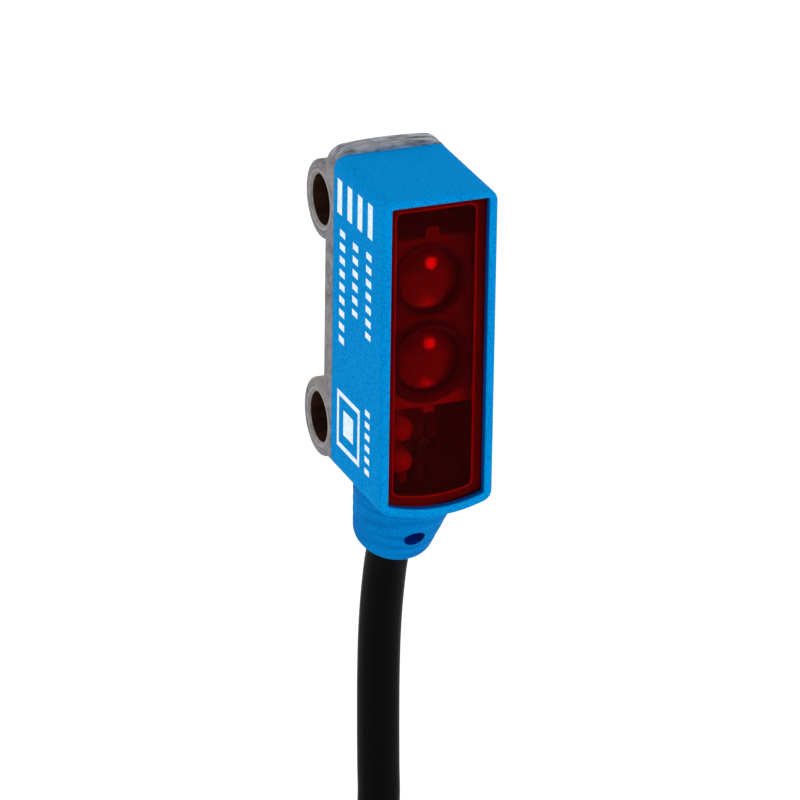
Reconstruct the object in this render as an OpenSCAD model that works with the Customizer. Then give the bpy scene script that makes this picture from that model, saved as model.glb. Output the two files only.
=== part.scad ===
// Miniature photoelectric sensor with two mounting bores and a moulded cable outlet.
// Millimetres. The origin is the middle of the upper mounting bore, +Z is up and
// the window looks along -Y. The bores run along X.

/* [Housing] */
// Width of the housing, side to side
body_w = 7.7; // [7.6:0.05:7.9]
// Height of the shell, flat top to the middle of its arched underside
body_h = 21.8; // [21.6:0.1:22.2]
// Overall depth, front rim to the back of the lugs
body_d = 13.6; // [13.4:0.1:13.8]
// Depth of the plastic shell
shell_d = 8.55; // [8.5:0.05:8.6]
// Wall of the shell
wall = 0.7; // [0.6:0.05:0.75]
// Radius of the shell's long edges
edge_r = 0.8; // [0.6:0.1:0.9]
// Radius of the arched underside
under_r = 10; // [9.5:0.5:11]
// Depth of the small step round the front rim
rim_step = 0.2; // [0.1:0.05:0.3]

/* [Mounting] */
// Distance between the two mounting bores
bore_gap = 15; // [14.8:0.1:15.2]
// Diameter of a mounting bore, for an M3 screw
bore_d = 3.3; // [3.2:0.05:3.4]
// Outer diameter of a bore's sleeve
sleeve_d = 4.1; // [4:0.05:4.2]
// Bevel at each mouth of a sleeve
sleeve_bevel = 0.15; // [0.1:0.05:0.2]
// Radius of the lugs round the bores
lug_r = 2.6; // [2.5:0.05:2.7]
// Height of the shell's flat top over the upper bore
top_z = 3.8; // [3.7:0.1:3.9]

/* [Rear frame] */
// Thickness of the metal plate behind the shell
plate_t = 1.5; // [1.4:0.05:1.6]
// Rise of the plate's crown over the shell's top
crown = 0.4; // [0.3:0.05:0.5]
// Radius of the crown
crown_r = 30; // [25:1:35]
// Radius of the plate's two top corners
crown_corner = 1.2; // [1.1:0.05:1.3]
// Depth of the relief in the plate's back
relief = 0.35; // [0.25:0.05:0.4]

/* [Window] */
// Width of the window opening in the front rim
win_w = 6.5; // [6.4:0.05:6.6]
// Rim over the window
win_top_rim = 0.5; // [0.45:0.05:0.6]
// Rim under the window, in the middle
win_low_rim = 0.65; // [0.6:0.05:0.75]
// Depth of the window's face behind the front rim
win_recess = 0.45; // [0.4:0.05:0.5]
// Thickness of the window's flange
flange_t = 0.3; // [0.25:0.05:0.35]
// Thickness of the seal under the flange
seal_t = 0.1; // [0.1:0.05:0.15]
// Width of the ledge that carries the window
ledge_w = 0.6; // [0.5:0.05:0.65]
// Thickness of that ledge
ledge_t = 0.6; // [0.5:0.05:0.65]
// Depth of the window's middle panel
panel_t = 0.5; // [0.4:0.05:0.55]

/* [Cable] */
// Diameter of the cable
cable_d = 2.8; // [2.7:0.05:2.8]
// Lean of the cable outlet from the vertical, in degrees
neck_lean = 26; // [25:1:27]
// Radius of the neck under the shell
neck_r = 3.6; // [3.5:0.05:3.65]
// Radius of the neck at its end
neck_end_r = 2.65; // [2.6:0.05:2.7]
// Turns in each layer of the coil
turns_wide = 5; // [5:1:6]
// Layers in the coil
layers = 4; // [4:1:4]
// Diameter of one insulated wire
wire_d = 0.9; // [0.8:0.05:0.95]
// Length of each insulated lead past the jacket
lead_l = 36; // [34:1:40]

/* [Optics] */
// Radius of a lens
lens_r = 2.3; // [2.2:0.05:2.3]
// Height of the receiver lens's axis below the upper bore
receiver_drop = 2.5; // [2.4:0.1:2.6]
// Distance between the axes of the two lenses
lens_gap = 5.5; // [5.4:0.1:5.6]
// Thickness of the circuit board
board_t = 0.6; // [0.5:0.1:0.7]

/* [Hidden] */
$fn = 48;
fine = 96;
slack = 0.02;
past = 1;

front_y = lug_r - body_d;
shell_back = front_y + shell_d;
plate_back = shell_back + plate_t;
low_z = top_z - body_h;
half_w = body_w / 2;

win_top = top_z - win_top_rim;
win_low = low_z + win_low_rim;
win_arc = under_r - win_low_rim;
win_corner = 0.15;
win_face = front_y + win_recess;
flange_back = win_face + flange_t;
ledge_front = flange_back + seal_t;
ledge_back = ledge_front + ledge_t;
hole_corner = 0.4;
rear_cut = 2;

cavity_w = body_w - 2 * wall;
cavity_top = top_z - wall;
cavity_low = low_z + wall + 0.2;

neck_axis = [0, -sin(neck_lean), cos(neck_lean)];
neck_end = [0, -3.5, -22.2];
neck_top_y = -6.4;
neck_top_z = low_z + 0.45;
neck_round = 0.55;
neck_top_h = 0.6;
index_hole_d = 1.4;
index_hole_h = 3;
index_hole_at = [0, -6.6, -20.4];
index_hole_lean = 10;
clamp_at = 3.3;
clamp_l = 1.7;
clamp_t = 0.4;
jacket_in = 5.7;
passage_l = 9;

web_w = body_w - 1.5;
web_in = 0.3;
rim_h = 0.6;
rim_gap = 0.25;
rim_wall = 0.5;
pan_depth = 0.3;
relief_w = 4.8;
relief_gap = 0.9;
groove_at = 0.7;
groove_w = 0.15;
groove_depth = 0.12;
groove_z = top_z + crown - groove_depth;
seal_at = 0.1;
seal_w = 0.4;

lens_edge = 0.5;
lens_bulge = 0.7;
lens_back = -8.4;
lens_front = lens_back - lens_edge;
ring_wall = 0.2;
hood_h = 0.45;
ring_front = lens_front - hood_h;
receiver_z = -receiver_drop;
sender_z = -receiver_drop - lens_gap;
channel_r = 1.7;
carrier_w = 5.8;
carrier_front = -9.1;
carrier_top = 0.4;
carrier_low = -11.05;
rib = [0.9, 1.6, 0.7];
rib_x = 0.18;
tab = [0.75, 1.2, 0.45];
tab_x = 0.1;
board_w = 5.8;
board_top = 2.6;
board_low = -16.6;
board_front = -4;
board_back = board_front + board_t;
board_gap = 0.1;
carrier_back = board_front - board_gap;
pocket_w = 3.2;
pocket_d = 1.1;
guide_x = -1.35;
guide_r = 0.85;
guide_front = -8.7;
upper_guide_z = -12.9;
lower_guide_z = -15.1;
led_h = 0.6;
board_hole_r = 0.4;
board_hole_x = 2.2;
board_hole_drop = 0.7;
chip_size = [2, 2, 0.6];
screen_size = [2.8, 2.8, 0.9];
screen_hollow = [2.1, 2.1, 0.75];
screen_hole = [1.4, 1.4, 2];
sender_base = [1.6, 1.4, 0.4];
sender_all = [1.6, 1.4, 1];
sender_dome_r = 0.55;
led_size = [1.2, 0.8, led_h];
control_size = [2.4, 2.4, 0.8];
control_at = [1.4, -12.9];
transistor_size = [1.4, 2.2, 0.6];
transistor_z = -13.5;
capacitor_size = [0.5, 1, 0.5];
low_capacitors = [[0.5, -14.9], [1.4, -14.9], [2.3, -14.9]];
high_capacitors = [[-2, 1.3], [2, 1.3]];
resistor_size = [0.5, 1, 0.35];
resistor_x = 1.8;
resistor_z = [-3, -5, -7, -9];

pitch = 2.85;
coil_x = 2.85;
coil_y = -4;
coil_z = -79;
inner_r = 11.6;
coil_in = inner_r - cable_d / 2;
coil_out = inner_r + (layers - 1) * pitch + cable_d / 2;
coil_w = (turns_wide - 1) * pitch + cable_d;
tie_w = 2.6;
tie_t = 0.8;
tie_gap = 0.05;
lock_w = 4;
lock_h = 1.8;
tip_l = 5;
tip_d = 0.5;

// Hanging stretch, from the neck's end down to where it joins the coil's outer layer
hang = [
    [0, -3.5, -22.2], [0, -2.75, -24], [0, -2.1, -26.5], [0, -1.65, -29.5],
    [0, -1.5, -32.5], [0, -1.55, -36], [0, -1.7, -39.5], [0, -1.85, -42.5],
    [-0.2, -1.65, -46], [-0.65, -0.95, -48.6], [-1.2, 0.25, -51.2], [-1.7, 1.8, -53.5],
    [-2.2, 3.95, -56.3], [-2.6, 6.4, -59.5], [-2.8, 9.05, -63], [-2.85, 12, -66.8]
];
// End of the cable, from the coil's inner layer down to the stripped jacket
tail = [
    [-4.3, 4.2, -70.8], [-5.3, 6.7, -74.6], [-5.7, 7.6, -79],
    [-5.7, 7.6, -83], [-5.7, 7.5, -87], [-5.7, 7.4, -90]
];
// Middle of the tail's end face, where the three leads start
tail_end = tail[len(tail) - 1];
// Sideways spread of the leads, brown, blue and black
spread = [[-1, 0.5], [0.15, -1], [1, 0.5]];
core_r = 0.3;
// Places of the three cores in the jacket's end face, across and along it
core_places = [[-0.55, -0.3], [0, 0.6], [0.55, -0.3]];
pad_x = 1.9;
pad_z = -16.1;
pad_h = 0.3;
pad_r = 0.35;
pad_flare = 0.1;
core_rise = 0.25;
core_bend = 0.15;
core_sag = [0, -0.2, 0.06];
core_end = 0.35;
// Sideways offset of a lead at its start, and how much it gains to its end, across and along
lead_start = 0.5;
lead_gain = [1.5, 1.2];
lead_steps = 8;

// ---- shared shapes ----

// Solid of a front outline, drawn in X and Z, from y0 back to y1
module slab(y0, y1) {
    translate([0, y1, 0])
        rotate([90, 0, 0])
            linear_extrude(y1 - y0)
                children();
}

// Rod along Y from y0 to y1
module rod_y(r, y0, y1, x = 0, z = 0) {
    translate([x, y1, z])
        rotate([90, 0, 0])
            cylinder(r = r, h = y1 - y0);
}

// Rod along X, middle at the origin's plane
module rod_x(r, l, z = 0) {
    translate([-l / 2, 0, z])
        rotate([0, 90, 0])
            cylinder(r = r, h = l, $fn = fine);
}

// Box given by its two corners
module block(a, b) {
    translate(a)
        cube(b - a);
}

// Wedge from a circle's centre at height z, out past the points (-x, h) and (x, h) from it
module sector(z, x, h) {
    translate([0, z])
        scale(1.5)
            polygon([[0, 0], [-x, h], [x, h]]);
}

// Flat-topped outline with an arched underside and round corners
module arched(w, top, low, arc_r, corner) {
    arc_z = low + arc_r;
    cx = w / 2 - corner;
    side_z = arc_z - sqrt(pow(arc_r - corner, 2) - cx * cx);
    translate([-w / 2, side_z])
        square([w, top - corner - side_z]);
    translate([-cx, side_z])
        square([2 * cx, top - side_z]);
    for (x = [-cx, cx], z = [top - corner, side_z])
        translate([x, z])
            circle(r = corner);
    intersection() {
        translate([0, arc_z])
            circle(r = arc_r, $fn = 4 * fine);
        sector(arc_z, cx, side_z - arc_z);
    }
}

// Outline of the shell, grown by g all round
module body_outline(g = 0) {
    arched(body_w + 2 * g, top_z + g, low_z - g, under_r + g, edge_r + g);
}

// Outline of the window, less a gap g
module window_outline(g = 0) {
    arched(win_w - 2 * g, win_top - g, win_low + g, win_arc - g, win_corner);
}

// Outline of the opening in the window's ledge, less a gap g
module ledge_outline(g = 0) {
    in = ledge_w + g;
    arched(win_w - 2 * in, win_top - in, win_low + in, win_arc - in, hole_corner);
}

// Outline of the hollow in the shell, less a gap g
module cavity_outline(g = 0) {
    arched(cavity_w - 2 * g, cavity_top - g, cavity_low + g, under_r - wall - g, hole_corner);
}

// Puts a child that stands on Z onto the neck's axis, a distance up from the neck's end
module on_neck(up) {
    translate(neck_end + up * neck_axis)
        rotate([neck_lean, 0, 0])
            children();
}

function unit(v) = v / norm(v);

// Direction of path p at point i
function heading(p, i) = unit(p[min(i + 1, len(p) - 1)] - p[max(i - 1, 0)]);

// Point k of n on the circle of radius r round point i of path p
function ring_point(p, i, r, k, n) =
    let (t = heading(p, i), u = unit(cross([1, 0, 0], t)), v = cross(t, u))
    p[i] + r * (cos(360 * k / n) * u + sin(360 * k / n) * v);

// Tube of radius r with n sides along path p
module tube(p, r, n = 8) {
    last = len(p) - 1;
    rings = [for (i = [0:last], k = [0:n - 1]) ring_point(p, i, r, k, n)];
    sides = [for (i = [0:last - 1], k = [0:n - 1])
        let (a = i * n + k, b = i * n + (k + 1) % n)
        each [[a, b + n, b], [a, a + n, b + n]]];
    start_cap = [for (k = [0:n - 1]) k];
    end_cap = [for (k = [0:n - 1]) last * n + n - 1 - k];
    polyhedron(points = rings, faces = concat(sides, [start_cap], [end_cap]));
}

// ---- housing ----

// Shell's outer solid, stepped in a little at its front edge
module shell_block() {
    slab(front_y + rim_step, shell_back)
        body_outline();
    slab(front_y, front_y + rim_step)
        body_outline(-rim_step / 2);
}

// Blue shell, open at the back, with the window's ledge in front
module housing_shell() {
    color("#0a84cc")
        difference() {
            shell_block();
            slab(front_y - past, ledge_front)
                window_outline();
            slab(ledge_front - past, ledge_back + past)
                ledge_outline();
            slab(ledge_back, shell_back + past)
                cavity_outline();
            on_neck(jacket_in - rear_cut)
                cylinder(d = cable_d, h = 2 * rear_cut);
        }
}

// Leaning cable outlet with a round end and a small blind hole in front
module cable_neck() {
    color("#0a84cc")
        difference() {
            hull() {
                translate([0, neck_top_y, neck_top_z])
                    cylinder(r = neck_r, h = neck_top_h, $fn = 32);
                on_neck(neck_round)
                    rotate_extrude($fn = 32)
                        translate([neck_end_r - neck_round, 0])
                            circle(r = neck_round, $fn = 16);
            }
            slab(front_y - past, shell_back + past)
                body_outline();
            on_neck(-past)
                cylinder(d = cable_d, h = passage_l);
            on_neck(clamp_at)
                cylinder(r = cable_d / 2 + clamp_t, h = clamp_l);
            translate(index_hole_at)
                rotate([90 + neck_lean + index_hole_lean, 0, 0])
                    cylinder(d = index_hole_d, h = index_hole_h);
        }
}

// Red window: a flange that rests on the ledge, and a panel in its opening
module front_window() {
    color("#5a0010")
        union() {
            slab(win_face, flange_back)
                window_outline(slack);
            slab(flange_back, flange_back + panel_t)
                ledge_outline(2 * slack);
        }
}

// Thin seal between the window's flange and the ledge
module window_seal() {
    color("#8c1010")
        difference() {
            slab(flange_back, ledge_front)
                window_outline(slack);
            slab(flange_back - past, ledge_front + past)
                ledge_outline();
        }
}

// ---- rear frame ----

// Outline of the metal plate, with a crowned top
module plate_outline() {
    crown_z = top_z + crown - crown_r;
    cx = half_w - crown_corner;
    corner_z = crown_z + sqrt(pow(crown_r - crown_corner, 2) - cx * cx);
    intersection() {
        body_outline();
        translate([-half_w, low_z])
            square([body_w, body_h / 2]);
    }
    translate([-half_w, top_z - body_h / 2 - slack])
        square([body_w, corner_z - top_z + body_h / 2 + slack]);
    for (x = [-cx, cx])
        translate([x, corner_z])
            circle(r = crown_corner);
    intersection() {
        translate([0, crown_z])
            circle(r = crown_r, $fn = 8 * fine);
        sector(crown_z, cx, corner_z - crown_z);
        translate([-half_w, 0])
            square([body_w, top_z + crown + past]);
    }
}

// Lug round one bore, and the web that ties its top and bottom to the plate
module lug(z) {
    difference() {
        rod_x(lug_r, body_w, z);
        block([-body_w, shell_back - past, z - body_w], [body_w, shell_back, z + body_w]);
    }
    block([-web_w / 2, plate_back - web_in, z - lug_r], [web_w / 2, 0, z + lug_r]);
}

// Metal plate with its two lugs and the rim that locates it in the shell
module rear_frame() {
    relief_low = -bore_gap + lug_r + relief_gap;
    relief_top = -lug_r - relief_gap;
    color("#83838b")
        difference() {
            union() {
                slab(shell_back, plate_back)
                    plate_outline();
                slab(shell_back - rim_h, shell_back)
                    cavity_outline(rim_gap);
                lug(0);
                lug(-bore_gap);
            }
            slab(shell_back - past, shell_back + pan_depth)
                cavity_outline(rim_gap + rim_wall);
            for (z = [0, -bore_gap])
                rod_x(sleeve_d / 2, body_w + 2 * past, z);
            translate([0, plate_back - relief, 0])
                block([-relief_w / 2, 0, relief_low], [relief_w / 2, relief + past, relief_top]);
            translate([0, shell_back + groove_at, 0])
                block([-half_w, 0, groove_z], [half_w, groove_w, groove_z + past]);
        }
}

// Seal round the locating rim of the rear frame
module rear_seal() {
    color("#202020")
        difference() {
            slab(shell_back - seal_at - seal_w, shell_back - seal_at)
                cavity_outline(slack);
            slab(shell_back - past, shell_back + past)
                cavity_outline(rim_gap);
        }
}

// Steel sleeve pressed into a lug, bevelled at both mouths
module sleeve(z) {
    mouth_r = bore_d / 2 + 2 * sleeve_bevel;
    color("#8f8577")
        difference() {
            rod_x(sleeve_d / 2, body_w, z);
            rod_x(bore_d / 2, body_w + 2 * past, z);
            for (side = [-1, 1])
                translate([side * (half_w - sleeve_bevel), 0, z])
                    rotate([0, side * 90, 0])
                        cylinder(r1 = bore_d / 2, r2 = mouth_r, h = 2 * sleeve_bevel, $fn = fine);
        }
}

module upper_sleeve() {
    sleeve(0);
}

module lower_sleeve() {
    sleeve(-bore_gap);
}

// ---- optics ----

// Black holder with a pocket, a light channel and a chip recess for each lens
module optics_carrier() {
    color("#1c1c1e")
        difference() {
            union() {
                block([-carrier_w / 2, carrier_front, carrier_low], [carrier_w / 2, carrier_back, carrier_top]);
                translate([rib_x - rib[0] / 2, carrier_front, carrier_top])
                    cube(rib);
                translate([tab_x - tab[0] / 2, carrier_front, carrier_low - tab[2]])
                    cube(tab);
            }
            for (z = [receiver_z, sender_z]) {
                rod_y(lens_r + ring_wall, carrier_front - past, lens_back, 0, z);
                rod_y(channel_r, lens_back - past, carrier_back + past, 0, z);
                block([-pocket_w / 2, carrier_back - pocket_d, z - pocket_w / 2],
                    [pocket_w / 2, carrier_back + past, z + pocket_w / 2]);
            }
        }
}

// Flat-backed lens that bulges to the front
module lens(z) {
    dome_r = (lens_r * lens_r + lens_bulge * lens_bulge) / (2 * lens_bulge);
    color("#e8e8f0")
        union() {
            rod_y(lens_r, lens_front, lens_back, 0, z);
            intersection() {
                translate([0, lens_front - lens_bulge + dome_r, z])
                    sphere(r = dome_r, $fn = fine);
                rod_y(lens_r, lens_front - lens_bulge, lens_back - lens_edge / 2, 0, z);
            }
        }
}

module receiver_lens() {
    lens(receiver_z);
}

module sender_lens() {
    lens(sender_z);
}

// Ring that holds a lens in the carrier and stands round it as a hood
module lens_ring(z) {
    color("#151517")
        difference() {
            rod_y(lens_r + ring_wall, ring_front, lens_back, 0, z);
            rod_y(lens_r, ring_front - past, lens_back + past, 0, z);
        }
}

module receiver_ring() {
    lens_ring(receiver_z);
}

module sender_ring() {
    lens_ring(sender_z);
}

// Light guide from an indicator LED forward to its round end behind the window
module light_guide(z) {
    color("#e6e6d8")
        union() {
            rod_y(guide_r, guide_front + guide_r, board_front - led_h - board_gap, guide_x, z);
            translate([guide_x, guide_front + guide_r, z])
                sphere(r = guide_r);
        }
}

module upper_light_guide() {
    light_guide(upper_guide_z);
}

module lower_light_guide() {
    light_guide(lower_guide_z);
}

// ---- electronics ----

// Part on the board's front face at x and z, its size given as width, height and depth
module on_front(x, z, size) {
    translate([x - size[0] / 2, board_front - size[2], z - size[1] / 2])
        cube([size[0], size[2], size[1]]);
}

// Part on the board's back face, given in the same way
module on_back(x, z, size) {
    translate([x - size[0] / 2, board_back, z - size[1] / 2])
        cube([size[0], size[2], size[1]]);
}

module circuit_board() {
    color("#1f6b3a")
        difference() {
            block([-board_w / 2, board_front, board_low], [board_w / 2, board_back, board_top]);
            for (x = [-board_hole_x, board_hole_x])
                rod_y(board_hole_r, board_front - past, board_back + past, x, board_top - board_hole_drop);
        }
}

module receiver_chip() {
    color("#3a3a44")
        on_front(0, receiver_z, chip_size);
}

// Metal screen round the receiver chip, with a window for the light
module receiver_shield() {
    color("#c8c8cc")
        difference() {
            on_front(0, receiver_z, screen_size);
            on_front(0, receiver_z, screen_hollow);
            on_front(0, receiver_z, screen_hole);
        }
}

// Light source with a round dome
module sender_led() {
    color("#f0d8d8")
        union() {
            on_front(0, sender_z, sender_base);
            intersection() {
                on_front(0, sender_z, sender_all);
                translate([0, board_front - sender_base[2], sender_z])
                    sphere(r = sender_dome_r);
            }
        }
}

module green_indicator_led() {
    color("#30c050")
        on_front(guide_x, upper_guide_z, led_size);
}

module yellow_indicator_led() {
    color("#e0c020")
        on_front(guide_x, lower_guide_z, led_size);
}

module control_chip() {
    color("#18181a")
        on_front(control_at[0], control_at[1], control_size);
}

module output_transistor() {
    color("#18181a")
        on_back(0, transistor_z, transistor_size);
}

// Capacitors in a row under the control chip and beside the receiver
module chip_capacitors() {
    color("#b08858")
        for (place = concat(low_capacitors, high_capacitors))
            on_front(place[0], place[1], capacitor_size);
}

// Resistors on the board's back
module chip_resistors() {
    color("#101012")
        for (x = [-resistor_x, resistor_x], z = resistor_z)
            on_back(x, z, resistor_size);
}

// Solder that ties each core to its pad on the board
module solder_joints() {
    color("#c4c6ca")
        for (i = [-1:1])
            translate([i * pad_x, board_front, pad_z])
                rotate([90, 0, 0])
                    cylinder(r1 = pad_r + pad_flare, r2 = pad_r, h = pad_h);
}

// Path of one core from the stripped jacket to its pad on the board
function core_path(i) =
    let (
        across = [0, cos(neck_lean), sin(neck_lean)],
        start = neck_end + jacket_in * neck_axis + [core_places[i][0], 0, 0] + core_places[i][1] * across,
        pad = [(i - 1) * pad_x, board_front - pad_h, pad_z],
        low = start + core_rise * neck_axis,
        bend = [low[0], low[1] + core_bend, pad_z - core_bend]
    )
    [start, low, bend, (bend + pad) / 2 + core_sag, pad - [0, core_end, 0], pad];

// Core from the stripped jacket to the board's front
module core(i) {
    tube(core_path(i), core_r);
}

module brown_core() {
    color("#6b3a1c")
        core(0);
}

module blue_core() {
    color("#2050a0")
        core(1);
}

module black_core() {
    color("#151515")
        core(2);
}

// ---- cable ----

// Crimped ring that holds the jacket in the neck
module cable_clamp() {
    color("#b8b4a8")
        on_neck(clamp_at)
            difference() {
                cylinder(r = cable_d / 2 + clamp_t, h = clamp_l);
                translate([0, 0, -past])
                    cylinder(d = cable_d, h = clamp_l + 2 * past);
            }
}

// Last of the jacket, inside the neck
module jacket_end() {
    color("#101012")
        on_neck(0)
            cylinder(d = cable_d, h = jacket_in);
}

module cable_jacket() {
    color("#101012")
        tube(hang, cable_d / 2);
}

// Outer shape of the coil, a ring that stands upright
module cable_coil() {
    color("#161618")
        translate([coil_x - coil_w / 2, coil_y, coil_z])
            rotate([0, 90, 0])
                rotate_extrude($fn = fine)
                    translate([coil_in, 0])
                        square([coil_out - coil_in, coil_w]);
}

module cable_tail() {
    color("#101012")
        tube(tail, cable_d / 2);
}

// Tie round the top of the coil, with its lock
module coil_tie() {
    inside_x = coil_w / 2 + tie_gap;
    inside_z = (coil_out - coil_in) / 2 + tie_gap;
    outside_x = inside_x + tie_t;
    outside_z = inside_z + tie_t;
    middle_z = coil_z + (coil_in + coil_out) / 2;
    color("#202022")
        translate([coil_x, coil_y, middle_z])
            difference() {
                union() {
                    block([-outside_x, -tie_w / 2, -outside_z], [outside_x, tie_w / 2, outside_z]);
                    block([-lock_w / 2, -lock_w / 2, inside_z], [lock_w / 2, lock_w / 2, outside_z + lock_h]);
                }
                block([-inside_x, -lock_w, -inside_z], [inside_x, lock_w, inside_z]);
            }
}

// Path of one lead, hanging from the end of the jacket
function lead_path(i) = [for (k = [0:lead_steps])
    let (s = k / lead_steps, out = [lead_start, lead_start] + s * lead_gain)
    tail_end + [spread[i][0] * out[0], spread[i][1] * out[1], -lead_l * s]];

module brown_lead() {
    color("#6b3a1c")
        tube(lead_path(0), wire_d / 2);
}

module blue_lead() {
    color("#2050a0")
        tube(lead_path(1), wire_d / 2);
}

module black_lead() {
    color("#151515")
        tube(lead_path(2), wire_d / 2);
}

// Tinned ends of the three leads
module lead_tips() {
    color("#c4c6ca")
        for (i = [0:2])
            translate(lead_path(i)[lead_steps] - [0, 0, tip_l])
                cylinder(d = tip_d, h = tip_l);
}

housing_shell();
cable_neck();
front_window();
window_seal();
rear_frame();
rear_seal();
upper_sleeve();
lower_sleeve();
optics_carrier();
receiver_lens();
sender_lens();
receiver_ring();
sender_ring();
circuit_board();
receiver_chip();
receiver_shield();
sender_led();
green_indicator_led();
yellow_indicator_led();
upper_light_guide();
lower_light_guide();
control_chip();
output_transistor();
chip_capacitors();
chip_resistors();
solder_joints();
brown_core();
blue_core();
black_core();
cable_clamp();
jacket_end();
cable_jacket();
cable_coil();
cable_tail();
coil_tie();
brown_lead();
blue_lead();
black_lead();
lead_tips();
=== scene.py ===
"""Looks of a miniature photoelectric sensor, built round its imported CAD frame.

Shapes are drawn in millimetres and scaled to metres when they are presented.
"""
import math

import bmesh
import bpy
from mathutils import Matrix, Vector


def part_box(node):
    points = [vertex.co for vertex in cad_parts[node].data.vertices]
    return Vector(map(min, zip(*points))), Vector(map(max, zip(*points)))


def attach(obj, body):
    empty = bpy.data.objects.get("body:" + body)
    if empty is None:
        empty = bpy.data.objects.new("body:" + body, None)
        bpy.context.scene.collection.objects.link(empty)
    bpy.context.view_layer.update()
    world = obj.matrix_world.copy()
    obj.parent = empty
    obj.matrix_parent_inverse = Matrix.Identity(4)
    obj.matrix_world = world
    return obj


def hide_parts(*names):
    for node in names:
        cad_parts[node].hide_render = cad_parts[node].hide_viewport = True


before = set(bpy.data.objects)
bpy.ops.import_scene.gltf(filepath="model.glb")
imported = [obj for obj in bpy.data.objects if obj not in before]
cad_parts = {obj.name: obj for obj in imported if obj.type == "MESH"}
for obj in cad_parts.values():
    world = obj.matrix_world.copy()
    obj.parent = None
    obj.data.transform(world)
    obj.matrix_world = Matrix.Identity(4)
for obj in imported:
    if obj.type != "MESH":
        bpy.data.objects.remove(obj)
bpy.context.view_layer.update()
MM = 0.001
SCENE = bpy.context.scene


def corners_mm(node):
    """Lowest and highest corner of a CAD node, in millimetres."""
    low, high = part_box(node)
    return low / MM, high / MM


# ---- driving dimensions, in millimetres ----

SHELL_LOW, SHELL_HIGH = corners_mm("housing_shell")
WINDOW_LOW, WINDOW_HIGH = corners_mm("front_window")
FRAME_HIGH = corners_mm("rear_frame")[1]
LENS_HIGH = corners_mm("receiver_lens")[1]
GUIDE_LOW, GUIDE_HIGH = corners_mm("upper_light_guide")
SLEEVE_HIGH = corners_mm("upper_sleeve")[1]
TIE_LOW, TIE_HIGH = corners_mm("coil_tie")

BODY_W = SHELL_HIGH.x - SHELL_LOW.x
TOP_Z = SHELL_HIGH.z
LOW_Z = SHELL_LOW.z
FRONT_Y = SHELL_LOW.y
SHELL_BACK = SHELL_HIGH.y
PLATE_T = 1.5
PLATE_BACK = SHELL_BACK + PLATE_T
WALL = 0.7
CAVITY_RISE = 0.2
EDGE_R = 0.8
UNDER_R = 10
FRONT_ROUND = 0.3

WIN_W = 6.5
WIN_TOP_RIM = 0.5
WIN_LOW_RIM = 0.65
WIN_TOP = TOP_Z - WIN_TOP_RIM
WIN_LOW = LOW_Z + WIN_LOW_RIM
WIN_ARC = UNDER_R - WIN_LOW_RIM
WIN_CORNER = 0.15
WIN_FACE = WINDOW_LOW.y
WIN_BACK = WINDOW_HIGH.y
FLANGE_T = 0.3
SEAL_T = 0.1
LEDGE_T = 0.6
FLANGE_BACK = WIN_FACE + FLANGE_T
LEDGE_FRONT = FLANGE_BACK + SEAL_T
LEDGE_BACK = LEDGE_FRONT + LEDGE_T
LEDGE_W = 0.6
HOLE_CORNER = 0.4

BORE_GAP = 15
BORE_R = 1.65
SLEEVE_R = SLEEVE_HIGH.z
SLEEVE_BEVEL = 0.15
LUG_R = FRAME_HIGH.y
CROWN_R = 30
CROWN_CORNER = 1.2

NECK_LEAN = math.radians(26)
NECK_AXIS = Vector((0, -math.sin(NECK_LEAN), math.cos(NECK_LEAN)))
NECK_END = Vector((0, -3.5, -22.2))
NECK_TOP = Vector((0, -6.4, -16.95))
NECK_TOP_R = 3.6
NECK_END_R = 2.65
NECK_ROUND = 0.55
HOLE_TILT = math.radians(126)
HOLE_AXIS = Vector((0, -math.sin(HOLE_TILT), math.cos(HOLE_TILT)))
HOLE_MOUTH = Vector((0, -6.6, -20.4))
HOLE_R = 0.7
CABLE_D = 2.8
WIRE_D = 0.9
LEAD_LENGTH = 36

ROOM_GLOW = 1.0
FRONT_GLOW = 0.3
LEFT_GLOW = 0.35
FLOOR_GLOW = 0.25
FLOOR_HALF = 3000
FLOOR_LOW = -141
FLOOR_TOP = -140
LAMP_WAY = (0.341, -0.914, 0.212)
LAMP_DISTANCE = 600
LAMP_SIZE = 200
LAMP_RADIANCE = 15.75

LENS_R = 2.3
LENS_EDGE = 0.5
LENS_BULGE = 0.7
RECEIVER_Z = -2.5
SENDER_Z = -8
UPPER_GUIDE_Z = -12.9
LOWER_GUIDE_Z = -15.1


# ---- camera ----

CAMERA_AZIMUTH = math.radians(21.822)
CAMERA_DIP = math.radians(23.411)
CAMERA_ROLL = math.radians(0.872)
CAMERA_DISTANCE = 421.27
CAMERA_AIM = Vector((0, -6.972, -6.79))
CAMERA_ACROSS = 0.963
CAMERA_UP = 4.357
CAMERA_LENS = 300.9
CAMERA_SENSOR = 36
CAMERA_NEAR = 0.01


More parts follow.
